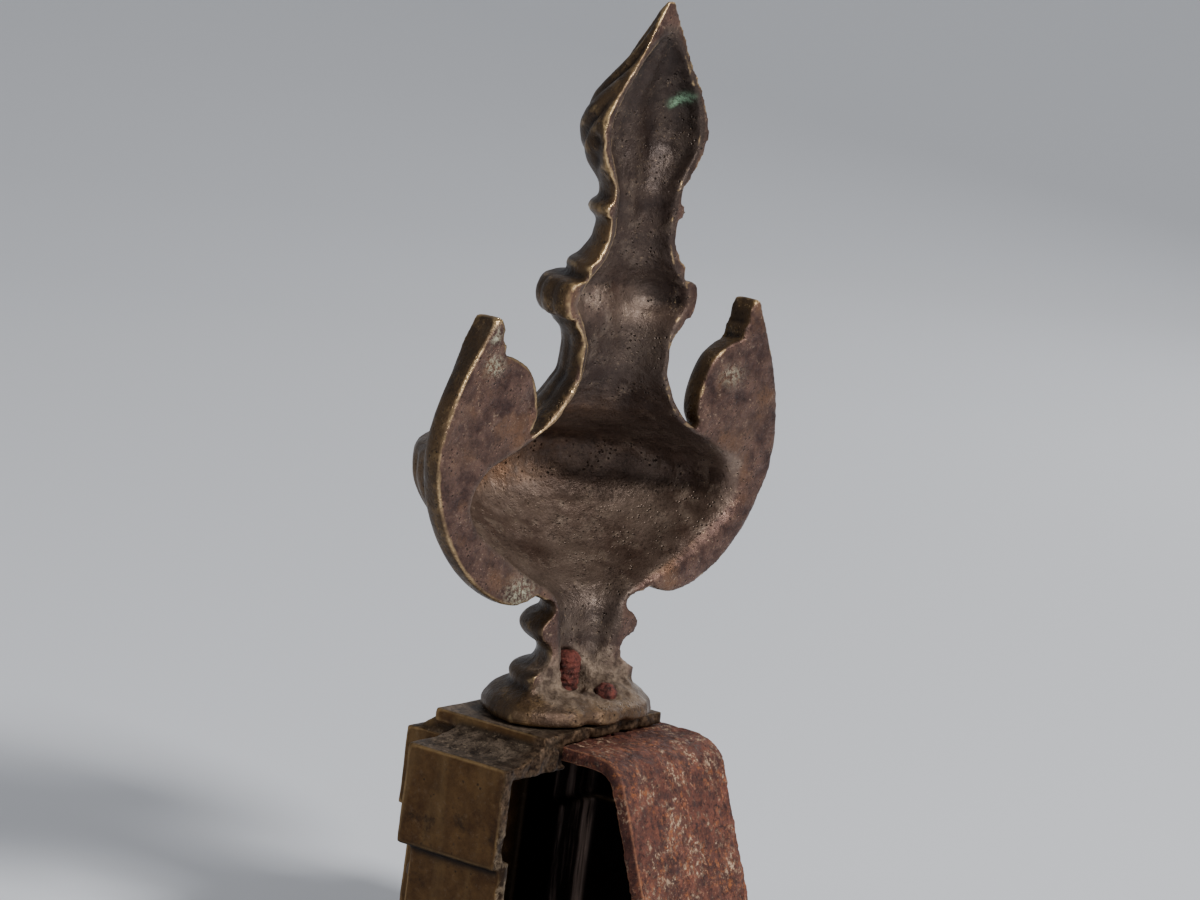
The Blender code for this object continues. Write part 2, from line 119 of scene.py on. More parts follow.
def add_light(name, place, size, power, colour):
    data = bpy.data.lights.new(name, "AREA")
    data.shape = "DISK"
    data.size = size
    data.energy = power
    data.color = colour
    light = bpy.data.objects.new(name, data)
    bpy.context.scene.collection.objects.link(light)
    light.location = place
    aim = Vector(LIGHT_AIM) - Vector(place)
    light.rotation_euler = aim.to_track_quat("-Z", "Y").to_euler()


add_light("window light", (0.10, 1.25, 1.05), 0.40, 29.0, (1.0, 0.98, 0.95))
add_light("side fill", (1.3, -0.35, 0.55), 0.7, 2.6, (0.95, 0.97, 1.0))
add_light("rim light", (-1.2, -0.1, 0.6), 0.6, 3.6, (1.0, 0.98, 0.95))
world = bpy.data.worlds.new("pale sky")
world.use_nodes = True
world.node_tree.nodes["Background"].inputs["Color"].default_value = SKY_COLOUR
world.node_tree.nodes["Background"].inputs["Strength"].default_value = SKY_STRENGTH
bpy.context.scene.world = world

# Floor
# A plain pale sheet of matt board under the part, laid flat and then bent up
# in one wide sweep far behind it.
FLOOR_NEAR = 3.0
FLOOR_BEND = -1.0
FLOOR_SWEEP = 2.0
FLOOR_HALF = 4.0
FLOOR_STEPS = 24
FLOOR_COLOUR = (0.72, 0.75, 0.81, 1.0)
floor_verts = []
floor_faces = []
for step in range(FLOOR_STEPS + 1):
    t = step / FLOOR_STEPS
    if t < 0.5:
        y = FLOOR_NEAR - t * 2.0 * (FLOOR_NEAR - FLOOR_BEND)
        z = 0.0
    else:
        a = (t - 0.5) * math.pi
        y = FLOOR_BEND - FLOOR_SWEEP * math.sin(a)
        z = FLOOR_SWEEP * (1.0 - math.cos(a))
    for x in (-FLOOR_HALF, FLOOR_HALF):
        floor_verts.append((x, y, z))
    if step:
        k = step * 2
        floor_faces.append((k - 2, k - 1, k + 1, k))
floor_mesh = bpy.data.meshes.new("floor")
floor_mesh.from_pydata(floor_verts, [], floor_faces)
floor = bpy.data.objects.new("floor", floor_mesh)
bpy.context.scene.collection.objects.link(floor)
floor.rotation_euler = (0.0, 0.0, -VIEW_YAW)
floor_look = bpy.data.materials.new("pale floor")
floor_look.use_nodes = True
floor_shader = floor_look.node_tree.nodes["Principled BSDF"]
floor_shader.inputs["Base Color"].default_value = FLOOR_COLOUR
floor_shader.inputs["Roughness"].default_value = 0.9
floor_mesh.materials.append(floor_look)
for face in floor_mesh.polygons:
    face.use_smooth = True

# Urn
# One brass casting, half round in front and hollow behind, with gadroons on
# the bowl, lobes on the collar, a winding flame and a leaf scroll on each side.
URN_TURN = math.radians(-9.0)
URN_LIFT = PLATE_TOP + 0.3
URN_CLEAR = PLATE_TOP + 0.25
URN_STEP = 0.42
URN_COLS = 264
URN_SKIN = 0.645
BOWL_LOW_Z = 25.6
BOWL_LOW_R = 12.2
BOWL_Z = 52.0
BOWL_R = 44.2
NECK_LOW = 60.0
NECK_HIGH = 82.4
COLLAR_Z = 89.5
COLLAR_R = 21.0
COLLAR_HALF_H = 4.2
COLLAR_ROUND = 3.0
FLAME_LOW = 114.0
TIP_Z = 152.8
GADROONS = 22
GADROON_LOW = 29.0
GADROON_DEPTH = 1.15
NECK_FLUTES = 9
NECK_FLUTE_DEPTH = 0.75
COLLAR_LOBES = 11
COLLAR_LOBE_DEPTH = 1.0
TONGUES = 5
TONGUE_DEPTH = 2.0
TONGUE_TWIST = 2.3
FOOT_R = 21.2
FOOT_BACK = 9.2
FOOT_TUCK = 0.6
FOOT_COLS = 64
HANDLE_FACE = 0.25
HANDLE_T = 6.4
HOLLOW_STEP = 0.7
HOLLOW_COLS = 90
HOLLOW_OUT = 10.0
HOLLOW_SWELL = 0.45
HOLLOW_GRAIN = 0.16
LIP_SPREAD = 3.2
FAR_LIP_SPREAD = 6.5
HANDLE_DENT = ((27.2, 0.2, 67.0), (1.5, 2.0, 6.0))
DENT_DEPTH = 0.8
FLAME_HOLE = ((15.6, -3.0, 122.4), (1.0, 1.3, 1.3))
HOLE_DEPTH = 1.0
GREEN_SPOTS = (
    (1.0, (-9.9, -2.5, 132.0), (0.95, 3.0, 1.1)),
    (1.0, (-9.0, -3.0, 130.6), (0.85, 3.0, 0.8)),
)
PALE_SPOTS = (
    (1.0, (23.7, 0.4, 28.3), (3.6, 3.0, 2.6)),
    (1.0, (40.0, 0.4, 76.5), (2.2, 2.5, 1.8)),
    (1.0, (40.6, 0.4, 82.5), (1.2, 2.0, 1.6)),
    (0.5, (-34.5, 0.4, 73.0), (3.4, 2.0, 2.0)),
)
# Painted light: warm patches of light painted into the colour at the top of the bowl and neck hollows.
PAINTED_LIGHT_SPOTS = (
    (1.1, (8.0, -34.0, 47.0), (22.0, 18.0, 4.0)),
    (0.5, (0.0, -36.0, 53.0), (28.0, 18.0, 4.0)),
    (0.6, (0.0, -7.0, 62.0), (12.0, 12.0, 4.0)),
)
LEAF_BORDER = 3.1
LEAF_BORDER_DEPTH = 0.55
LEAF_RIB_DEPTH = 0.45
BOX_GAP = 0.01


def closed_mesh(name, verts, faces):
    mesh = bpy.data.meshes.new(name)
    mesh.from_pydata([tuple(v) for v in verts], [], faces)
    bm = bmesh.new()
    bm.from_mesh(mesh)
    bmesh.ops.recalc_face_normals(bm, faces=bm.faces)
    bm.to_mesh(mesh)
    bm.free()
    obj = bpy.data.objects.new(name, mesh)
    bpy.context.scene.collection.objects.link(obj)
    return obj


def keep_modified(obj):
    graph = bpy.context.evaluated_depsgraph_get()
    graph.update()
    made = bpy.data.meshes.new_from_object(obj.evaluated_get(graph), depsgraph=graph)
    obj.modifiers.clear()
    obj.data = made


def combine(target, tools, kind):
    for tool in tools:
        mod = target.modifiers.new("combine", "BOOLEAN")
        mod.operation = kind
        mod.solver = "MANIFOLD"
        mod.object = tool
        keep_modified(target)
        bpy.data.objects.remove(tool, do_unlink=True)


def skin(obj, size):
    mod = obj.modifiers.new("skin", "REMESH")
    mod.mode = "VOXEL"
    mod.voxel_size = size * MM
    mod.adaptivity = 0.0
    keep_modified(obj)


def points_of(mesh):
    points = np.empty(len(mesh.vertices) * 3)
    mesh.vertices.foreach_get("co", points)
    return points.reshape(-1, 3) / MM


def place_points(mesh, points):
    mesh.vertices.foreach_set("co", (points * MM).ravel())


def normals_of(mesh):
    mesh.update()
    facing = np.empty(len(mesh.vertices) * 3)
    mesh.vertex_normals.foreach_get("vector", facing)
    return facing.reshape(-1, 3)


def neighbour_mean(mesh, field, passes):
    many = len(mesh.vertices)
    edges = np.empty(len(mesh.edges) * 2, dtype=np.int64)
    mesh.edges.foreach_get("vertices", edges)
    a = edges[0::2]
    b = edges[1::2]
    degree = np.maximum(np.bincount(a, minlength=many) + np.bincount(b, minlength=many), 1)
    out = field.reshape(many, -1).copy()
    for _ in range(passes):
        total = np.empty_like(out)
        for k in range(out.shape[1]):
            one = np.bincount(a, weights=out[b, k], minlength=many)
            two = np.bincount(b, weights=out[a, k], minlength=many)
            total[:, k] = (one + two) / degree
        out = 0.5 * out + 0.5 * total
    return out.reshape(field.shape)


def bulge(mesh, passes):
    points = points_of(mesh)
    soft = neighbour_mean(mesh, points, passes)
    return ((points - soft) * normals_of(mesh)).sum(axis=1)


def cloud(points, scale, seed):
    shift = Vector((seed * 13.7, seed * 7.3, seed * 3.1))
    out = np.empty(len(points))
    for i, p in enumerate(points):
        out[i] = noise.noise(Vector(p) * scale + shift)
    return out


def store(mesh, name, values):
    layer = mesh.attributes.new(name, "FLOAT", "POINT")
    layer.data.foreach_set("value", np.clip(values, 0.0, 1.0).astype(np.float32))


def dress(mesh, material):
    for face in mesh.polygons:
        face.use_smooth = True
    mesh.materials.clear()
    mesh.materials.append(material)


def share(value):
    return np.clip(value, 0.0, 1.0)


def rise(value, start, width):
    return np.clip((value - start) / width, 0.0, 1.0)


def fall(value, end, width):
    return np.clip((end - value) / width, 0.0, 1.0)


def hump(value, centre, width):
    return np.exp(-(((value - centre) / width) ** 2))


def grid_faces(rows, width, ring):
    faces = []
    span = width if ring else width - 1
    for j in range(rows - 1):
        for i in range(span):
            k = (i + 1) % width
            faces.append((j * width + i, j * width + k, (j + 1) * width + k, (j + 1) * width + i))
    return faces


def end_faces(rows, width):
    return [tuple(range(width - 1, -1, -1)), tuple(range((rows - 1) * width, rows * width))]


def resample(rows, step):
    rows = np.array(rows, float)
    gap = np.hypot(np.diff(rows[:, 0]), np.diff(rows[:, 1]))
    walk = np.concatenate([[0.0], np.cumsum(gap)])
    at = np.linspace(0.0, walk[-1], int(walk[-1] / step) + 1)
    out = np.stack([np.interp(at, walk, rows[:, k]) for k in range(rows.shape[1])], axis=1)
    for _ in range(3):
        out[1:-1] = 0.5 * out[1:-1] + 0.25 * (out[:-2] + out[2:])
    return out


def smooth_ring(points, steps):
    points = [np.array(p, float) for p in points]
    out = []
    for i in range(len(points) - 1):
        p0 = points[max(i - 1, 0)]
        p1 = points[i]
        p2 = points[i + 1]
        p3 = points[min(i + 2, len(points) - 1)]
        for s in range(steps):
            t = s / steps
            a = 2 * p1 + (p2 - p0) * t + (2 * p0 - 5 * p1 + 4 * p2 - p3) * t * t
            out.append((a + (3 * p1 - p0 - 3 * p2 + p3) * t ** 3) / 2)
    out.append(points[-1])
    return np.array(out)


def body_depth(z):
    return 1.0 - 0.1 * np.minimum(rise(z, 24.0, 12.0), fall(z, 68.0, 12.0))


def urn_profile():
    points = [
        (0.0, 20.6), (0.7, 21.2), (2.2, 21.2), (2.9, 20.8), (3.1, 20.0), (3.5, 19.9), (3.7, 20.3),
        (4.6, 19.2), (5.8, 17.3), (6.5, 15.6), (7.1, 15.4), (7.5, 15.9), (8.6, 16.3), (9.8, 15.6),
        (10.5, 14.0), (10.9, 12.6), (12.4, 11.2), (14.6, 10.8), (16.0, 11.6), (16.4, 12.8),
        (17.5, 14.5), (19.3, 15.5), (21.1, 14.4), (22.2, 12.6), (22.6, 11.6), (24.2, 11.2),
    ]
    for i in range(18):
        a = i / 18 * math.pi / 2
        r = BOWL_LOW_R + (BOWL_R - BOWL_LOW_R) * math.sin(a) ** 0.92
        z = BOWL_LOW_Z + (BOWL_Z - BOWL_LOW_Z) * (1 - math.cos(a)) ** 0.62 * 0.985
        points.append((z, r))
    points += [
        (BOWL_Z, BOWL_R), (54.4, 44.1), (55.6, 43.0), (56.2, 41.2), (56.2, 39.8), (57.0, 38.6),
        (58.0, 33.5), (60.2, 28.0), (63.4, 22.3), (67.8, 17.8), (73.4, 14.5), (79.6, 14.2),
        (82.6, 14.9), (83.4, 15.9), (84.2, 17.0), (85.4, 17.0), (85.5, 18.6),
    ]
    for i in range(15):
        a = math.radians(-68 + i * 136 / 14)
        r = COLLAR_R - COLLAR_ROUND + COLLAR_ROUND * math.cos(a)
        points.append((COLLAR_Z + COLLAR_HALF_H * math.sin(a), r))
    points += [
        (93.8, 15.4), (94.4, 14.6), (95.0, 15.2), (96.2, 15.4), (97.3, 14.6), (97.8, 13.4),
        (98.8, 12.7), (101.8, 10.8), (105.6, 10.3), (106.6, 10.6), (107.0, 11.8), (108.5, 12.6),
        (109.8, 11.8), (110.2, 10.6), (111.2, 10.4), (113.4, 10.7), (115.0, 11.9), (117.0, 13.7),
        (120.6, 15.7), (125.0, 16.4), (128.4, 15.7), (131.6, 14.2), (134.8, 11.9), (138.4, 9.2),
        (142.2, 6.9), (146.0, 4.7), (149.8, 2.7), (TIP_Z - 0.2, 0.9),
    ]
    return resample(points, URN_STEP)


def urn_body(profile):
    turn = np.linspace(0.0, math.pi, URN_COLS + 1)
    z, a = np.meshgrid(profile[:, 0], turn, indexing="ij")
    r = np.repeat(profile[:, 1][:, None], URN_COLS + 1, axis=1)
    gadroon = np.abs(np.sin(GADROONS * a)) ** 0.75
    on_bowl = rise(z, GADROON_LOW, 8.0) * fall(z, BOWL_Z + 2.6, 1.6)
    outside_stem = (r > BOWL_LOW_R + 2.8) & (z < BOWL_Z + 4.0)
    r = r - np.where(outside_stem, GADROON_DEPTH * (1 - gadroon) * on_bowl, 0.0)
    flute = np.abs(np.sin(NECK_FLUTES * a)) ** 0.6
    r = r - NECK_FLUTE_DEPTH * (1 - flute) * (rise(z, NECK_LOW, 5.0) * fall(z, NECK_HIGH, 2.0))
    lobe = np.abs(np.sin(COLLAR_LOBES * a)) ** 0.7
    on_collar = share(1.0 - ((z - COLLAR_Z) / COLLAR_HALF_H) ** 4) * (r > 17.3)
    r = r - COLLAR_LOBE_DEPTH * (1 - lobe) * on_collar
    climb = rise(z, FLAME_LOW, TIP_Z - FLAME_LOW)
    tongue = np.abs(np.sin(TONGUES * (a + TONGUE_TWIST * climb ** 0.85)))
    on_flame = rise(z, FLAME_LOW, 5.0) * fall(z, TIP_Z, 12.0) * share(np.abs(np.sin(a)) * 3.5)
    r = r - TONGUE_DEPTH * (1 - tongue) ** 1.25 * on_flame
    tip_lean = 0.9 * rise(z, 130.0, 22.0) ** 2
    verts = np.stack([r * np.cos(a) + tip_lean, -r * body_depth(z) * np.sin(a), z], axis=-1)
    rows = len(profile)
    width = URN_COLS + 1
    faces = grid_faces(rows, width, False)
    for j in range(rows - 1):
        faces.append((j * width + URN_COLS, j * width, (j + 1) * width, (j + 1) * width + URN_COLS))
    return closed_mesh("urn_casting", verts.reshape(-1, 3) * MM, faces + end_faces(rows, width))


def foot_back():
    rows = [
        (0.12, 0.97, 0.95), (0.8, 1.0, 1.0), (1.5, 1.0, 1.0), (1.9, 0.98, 0.95), (2.3, 0.98, 0.95),
        (2.8, 0.985, 0.97), (3.4, 0.96, 0.90), (4.4, 0.90, 0.72), (5.6, 0.82, 0.44),
        (6.7, 0.72, 0.16), (7.6, 0.60, 0.02),
    ]
    verts = []
    for z, wide, deep in rows:
        for i in range(FOOT_COLS + 1):
            a = math.pi * i / FOOT_COLS
            y = (FOOT_BACK * deep + FOOT_TUCK) * math.sin(a) - FOOT_TUCK
            y += 0.5 * noise.noise(Vector((a * 5.0, z * 0.8, 3.0))) * math.sin(a)
            verts.append((FOOT_R * wide * 0.99 * math.cos(a) * MM, y * MM, z * MM))
        for side in (-1.0, 1.0):
            verts.append((side * FOOT_R * wide * 0.93 * MM, -3 * FOOT_TUCK * MM, z * MM))
    width = FOOT_COLS + 3
    faces = grid_faces(len(rows), width, True) + end_faces(len(rows), width)
    return closed_mesh("foot back", verts, faces)


def leaf_outline():
    outer = [
        (39.4, 88.8), (41.0, 88.4), (42.6, 85.2), (47.6, 76.0), (51.0, 67.0), (52.5, 57.5),
        (50.6, 48.0), (45.0, 38.0), (36.4, 30.0), (27.0, 25.9), (20.0, 26.4), (15.8, 29.0),
    ]
    inner = [
        (13.6, 33.4), (17.6, 39.0), (23.0, 45.0), (27.4, 51.0), (28.4, 58.5), (25.2, 64.5),
        (25.6, 71.0), (28.6, 76.6), (33.6, 79.6), (36.9, 80.4), (36.8, 82.6), (38.0, 83.4),
        (38.0, 86.4),
    ]
    return np.concatenate([smooth_ring(outer, 8), smooth_ring(inner, 8)])


def leaf_handle(ring, side, tip_shift):
    ahead = np.roll(ring, -1, axis=0) - np.roll(ring, 1, axis=0)
    ahead /= np.hypot(ahead[:, 0], ahead[:, 1])[:, None]
    outward = np.stack([ahead[:, 1], -ahead[:, 0]], axis=1)
    before = np.roll(ring, 1, axis=0)
    if (before[:, 0] * ring[:, 1]).sum() < (ring[:, 0] * before[:, 1]).sum():
        outward = -outward
    tip_rise = rise(ring[:, 1], 58.0, 30.0)
    ease = np.clip((84.0 - ring[:, 1]) / 8.0, 0.10, 1.0)
    layers = [(0.0, 0.25), (0.08, 0.0), (0.45, 0.0), (0.65, 0.35), (0.82, 0.95), (0.94, 1.7), (1.0, 2.5)]
    verts = []
    for depth, inset in layers:
        moved = ring - outward * (inset * ease)[:, None]
        for k, (x, z) in enumerate(moved):
            z = z + tip_shift * tip_rise[k]
            verts.append((side * x * MM, (HANDLE_FACE - depth * HANDLE_T) * MM, z * MM))
    faces = grid_faces(len(layers), len(ring), True) + end_faces(len(layers), len(ring))
    return closed_mesh("leaf handle", verts, faces)


def hollow_back(rows):
    fine = resample(rows, HOLLOW_STEP)
    verts = []
    for z, lip, deep in fine:
        for i in range(HOLLOW_COLS + 1):
            a = math.pi * i / HOLLOW_COLS
            r = lip + (deep - lip) * math.sin(a) ** 2
            place = Vector((math.cos(a) * r, math.sin(a) * r, z))
            r += HOLLOW_SWELL * noise.noise(place * 0.16) + HOLLOW_GRAIN * noise.noise(place * 0.55)
            y = -r * float(body_depth(z)) * math.sin(a)
            verts.append((r * math.cos(a) * MM, y * MM, z * MM))
        for side in (-1.0, 1.0):
            verts.append((side * lip * MM, HOLLOW_OUT * MM, z * MM))
    width = HOLLOW_COLS + 3
    faces = grid_faces(len(fine), width, True) + end_faces(len(fine), width)
    return closed_mesh("hollow", verts, faces)


def rod_pocket(node, aside, back, height, size):
    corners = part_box(node)
    x = (corners[0][0] + corners[1][0]) / 2 / MM - CENTRE_X
    y = (corners[0][1] + corners[1][1]) / 2 / MM - CENTRE_Y
    place = Vector((
        x * math.cos(URN_TURN) + y * math.sin(URN_TURN) + aside,
        y * math.cos(URN_TURN) - x * math.sin(URN_TURN) + back,
        height,
    ))
    form = bmesh.new()
    reach = Matrix.Diagonal((size[0] * MM, size[1] * MM, size[2] * MM, 1.0))
    where = Matrix.Translation(place * MM) @ reach
    bmesh.ops.create_icosphere(form, subdivisions=4, radius=1.0, matrix=where)
    made = bpy.data.meshes.new("pocket")
    form.to_mesh(made)
    form.free()
    obj = bpy.data.objects.new("pocket", made)
    bpy.context.scene.collection.objects.link(obj)
    return obj


hollow_rows = np.array([
    (10.2, 5.4, 3.4), (13.0, 7.2, 3.8), (19.0, 8.4, 4.6), (24.0, 8.8, 6.4), (27.2, 12.0, 10.4),
    (30.0, 17.2, 16.6), (33.6, 24.2, 24.8), (37.6, 31.2, 31.4), (41.6, 37.2, 36.4), (46.0, 41.0, 39.8),
    (50.0, 40.8, 40.8), (53.6, 38.0, 41.0), (55.6, 35.0, 37.4), (57.2, 31.8, 30.6), (60.4, 25.0, 22.0),
    (63.6, 19.2, 15.6), (68.0, 15.2, 11.8), (73.6, 12.2, 9.4), (80.0, 12.0, 8.4), (85.0, 14.0, 7.4),
    (88.6, 17.4, 7.8), (92.0, 16.0, 8.8), (95.4, 12.2, 7.6), (99.0, 9.4, 6.4), (104.0, 8.3, 5.4),
    (112.0, 8.4, 4.8), (116.6, 10.6, 5.4), (121.0, 13.0, 6.0), (126.0, 13.6, 6.2), (131.0, 12.0, 5.4),
    (136.0, 8.8, 4.0), (141.0, 5.2, 2.4), (145.4, 1.4, 0.8),
])

# The casting is put together from its body, foot, leaves and hollows, and then
# given one even skin.
profile = urn_profile()
leaf_ring = leaf_outline()
urn = urn_body(profile)
combine(urn, [foot_back()], "UNION")
combine(urn, [leaf_handle(leaf_ring, 1.0, -2.4), leaf_handle(leaf_ring, -1.0, 0.8)], "UNION")
combine(urn, [hollow_back(hollow_rows)], "DIFFERENCE")
stud_pocket = rod_pocket("fixing_stud", 1.3, 3.4, 10.0, (5.2, 5.4, 5.4))
pin_pocket = rod_pocket("locating_pin", 1.0, 1.4, 9.2, (4.9, 4.9, 5.0))
combine(urn, [stud_pocket, pin_pocket], "DIFFERENCE")
skin(urn, URN_SKIN)
mesh = urn.data
points = neighbour_mean(mesh, points_of(mesh), 1)
place_points(mesh, points)

# The lip of the hollow is melted down where the casting runs over softly.
x, y, z = points.T
lip_at = np.interp(z, hollow_rows[:, 0], hollow_rows[:, 1])
lip_gap = np.abs(np.abs(x) - lip_at) + np.maximum(0.0, -y - 1.0)
bowl_melt = hump(lip_gap, 0.0, LIP_SPREAD) * rise(z, 22.0, 6.0) * fall(z, 62.0, 6.0)
bowl_melt = bowl_melt * np.where(x < 0.0, 1.0, 0.22)
back_melt = hump(lip_gap, 0.0, 1.6) * 0.35 * (y > -2.0)
stem_melt = hump(lip_gap, 0.0, 2.6) * fall(z, 27.0, 4.0) * 0.8
melt = share(bowl_melt + back_melt + stem_melt)[:, None]
points = points * (1.0 - melt) + neighbour_mean(mesh, points, 28) * melt
x, y, z = points.T
far_lip = hump(lip_gap, 0.0, FAR_LIP_SPREAD) * rise(z, 27.0, 8.0) * fall(z, 58.0, 6.0)
far_lip = (far_lip * fall(x, 0.0, 12.0) * (y > -14.0))[:, None]
points = points * (1.0 - far_lip) + neighbour_mean(mesh, points, 90) * far_lip
place_points(mesh, points)

# Edges, grooves and the lumpy sand-cast skin.
curve = bulge(mesh, 5)
facing = normals_of(mesh)
x, y, z = points.T
radius = np.hypot(x, y)
inward = -(facing[:, 0] * x + facing[:, 1] * y) / np.maximum(radius, 0.5)
limit = np.interp(z, hollow_rows[:, 0], np.maximum(hollow_rows[:, 1], hollow_rows[:, 2])) + 1.4
inside = (inward > -0.15) & (radius < limit) & (z > 9.0) & (z < 147.0) & (y < 0.1)
inside = neighbour_mean(mesh, inside.astype(float), 3)
back = share((facing[:, 1] - 0.3) * 2.0) * (y > -2.5)
edge = share(curve / 0.24)
groove = share(-curve / 0.12)
lump = cloud(points, 0.16, 1) * 0.26 + cloud(points, 0.55, 2) * 0.10
points = points + facing * (lump * (0.35 + 0.65 * share(inside + back)))[:, None]
x, y, z = points.T


def patch(centre, size):
    gap = (points - np.array(centre)) / np.array(size)
    return np.exp(-(gap ** 2).sum(axis=1))


# Where the finish is worn to gold, crusted or green, with a painted warm light patch and painted shade
# with dark patina in the hollow.
lip_edge = hump(lip_gap, 0.0, 2.4) * fall(z, 62.0, 3.0) * (z > 20.0)
far_wear = share(0.45 + cloud(points, 0.5, 18) * 1.4)
gild = edge * (1.0 - 0.9 * lip_edge) * np.where(x > 0.0, 1.0, far_wear) * np.where(z < 24.0, 0.7, 1.0)
gild = gild + 0.35 * edge * (np.abs(x) < lip_at + 3.0) * (z > 56.0)
collar_back = hump(z, 88.5, 4.5) * (y > -6.0)
painted_light = sum(strength * patch(place, size) for strength, place, size in PAINTED_LIGHT_SPOTS)
pale = sum(strength * patch(place, size) for strength, place, size in PALE_SPOTS)
crumb = fall(z, 15.0, 5.0) * rise(z, 3.8, 1.5) * rise(y, -5.5, 2.0) * fall(np.abs(x), 15.0, 2.0)
# Painted shade with dark patina: the hollow's inside is darkened by height, most in the flame, neck,
# stem and foot, and less on one side of the flame.
shade_and_patina_rows = np.array([
    (0.0, 0.55), (3.6, 0.50), (5.0, 0.15), (10.0, 0.15), (15.0, 0.50), (20.0, 0.72), (25.0, 0.60),
    (29.0, 0.20), (40.0, 0.0), (50.0, 0.0), (55.0, 0.06), (58.0, 0.42), (62.0, 0.58), (74.0, 0.68),
    (82.0, 0.62), (86.0, 0.12), (91.0, 0.16), (95.0, 0.55), (101.0, 0.60), (108.0, 0.70),
    (116.0, 0.83), (140.0, 0.85), (148.0, 0.60),
])
shade_and_patina = np.interp(z, shade_and_patina_rows[:, 0], shade_and_patina_rows[:, 1]) * share(inside * 1.6)
lighter_flame_side = (x > 3.0) & (z > 112.0)
shade_and_patina = shade_and_patina * np.where(lighter_flame_side, np.clip(1.0 - (x - 3.0) / 9.0, 0.55, 1.0), 1.0)
green = sum(strength * patch(place, size) for strength, place, size in GREEN_SPOTS)
green = green * np.clip(0.75 + cloud(points, 1.3, 17) * 1.2, 0.0, 1.2)
hole = patch(*FLAME_HOLE)
foot_clean = np.where(z < 8.6, 0.35, 1.0)

# A dent in one handle, then the leaf's border and ribs on both fronts.
body_r = np.interp(z, profile[:, 0], profile[:, 1]) + 0.6
on_leaf = (np.abs(x) > 24.0) & (y < -2.6) & (np.hypot(x, y / 0.9) > body_r)
dent = patch(*HANDLE_DENT) * back
points = points - facing * (DENT_DEPTH * dent)[:, None]
picked = np.nonzero(on_leaf)[0]
gap_x = np.abs(points[picked, 0])[:, None] - leaf_ring[None, :, 0]
gap_z = points[picked, 2][:, None] - leaf_ring[None, :, 1]
gap = np.sqrt(gap_x ** 2 + gap_z ** 2)
nearest = gap.argmin(axis=1)
inner = gap[np.arange(len(picked)), nearest]
along = nearest * 0.62
border = -LEAF_BORDER_DEPTH * hump(inner, LEAF_BORDER, 0.7)
ribs = -LEAF_RIB_DEPTH * np.abs(np.sin(along * 0.55 + inner * 0.35)) ** 6
ribs = ribs * rise(inner, LEAF_BORDER + 0.5, 1.5)
points[picked, 1] -= (border + ribs) * share(-facing[picked, 1] * 1.6 - 0.5)
crust = np.clip(cloud(points * np.array([1.0, 1.0, 1.4]), 0.55, 14) * 1.5, -0.3, 1.0)
swelling = crumb * (0.5 * crust + 0.15) + 0.18 * share(green * 1.4)
points = points + facing * (swelling - HOLE_DEPTH * hole)[:, None]

# The urn stands a little turned on its stud.
cos_turn = math.cos(URN_TURN)
sin_turn = math.sin(URN_TURN)
x, y, z = points.T
placed = np.stack([x * cos_turn - y * sin_turn, x * sin_turn + y * cos_turn, z + URN_LIFT], axis=1)
placed[:, 0] += CENTRE_X
placed[:, 1] += CENTRE_Y
box_low, box_high = (np.array(v) / MM for v in cad_box)
placed = np.clip(placed, box_low + BOX_GAP, box_high - BOX_GAP)
placed[:, 2] = np.maximum(placed[:, 2], URN_CLEAR)
place_points(mesh, placed)
store(mesh, "edge", gild)
store(mesh, "groove", groove + hole * 1.2)
store(mesh, "collar", collar_back)
store(mesh, "painted_light", painted_light)
store(mesh, "pale", pale)
store(mesh, "crumb", crumb)
store(mesh, "green", green * 1.5)
store(mesh, "inside", inside)
store(mesh, "back", back * foot_clean)
store(mesh, "shade_and_patina", shade_and_patina)
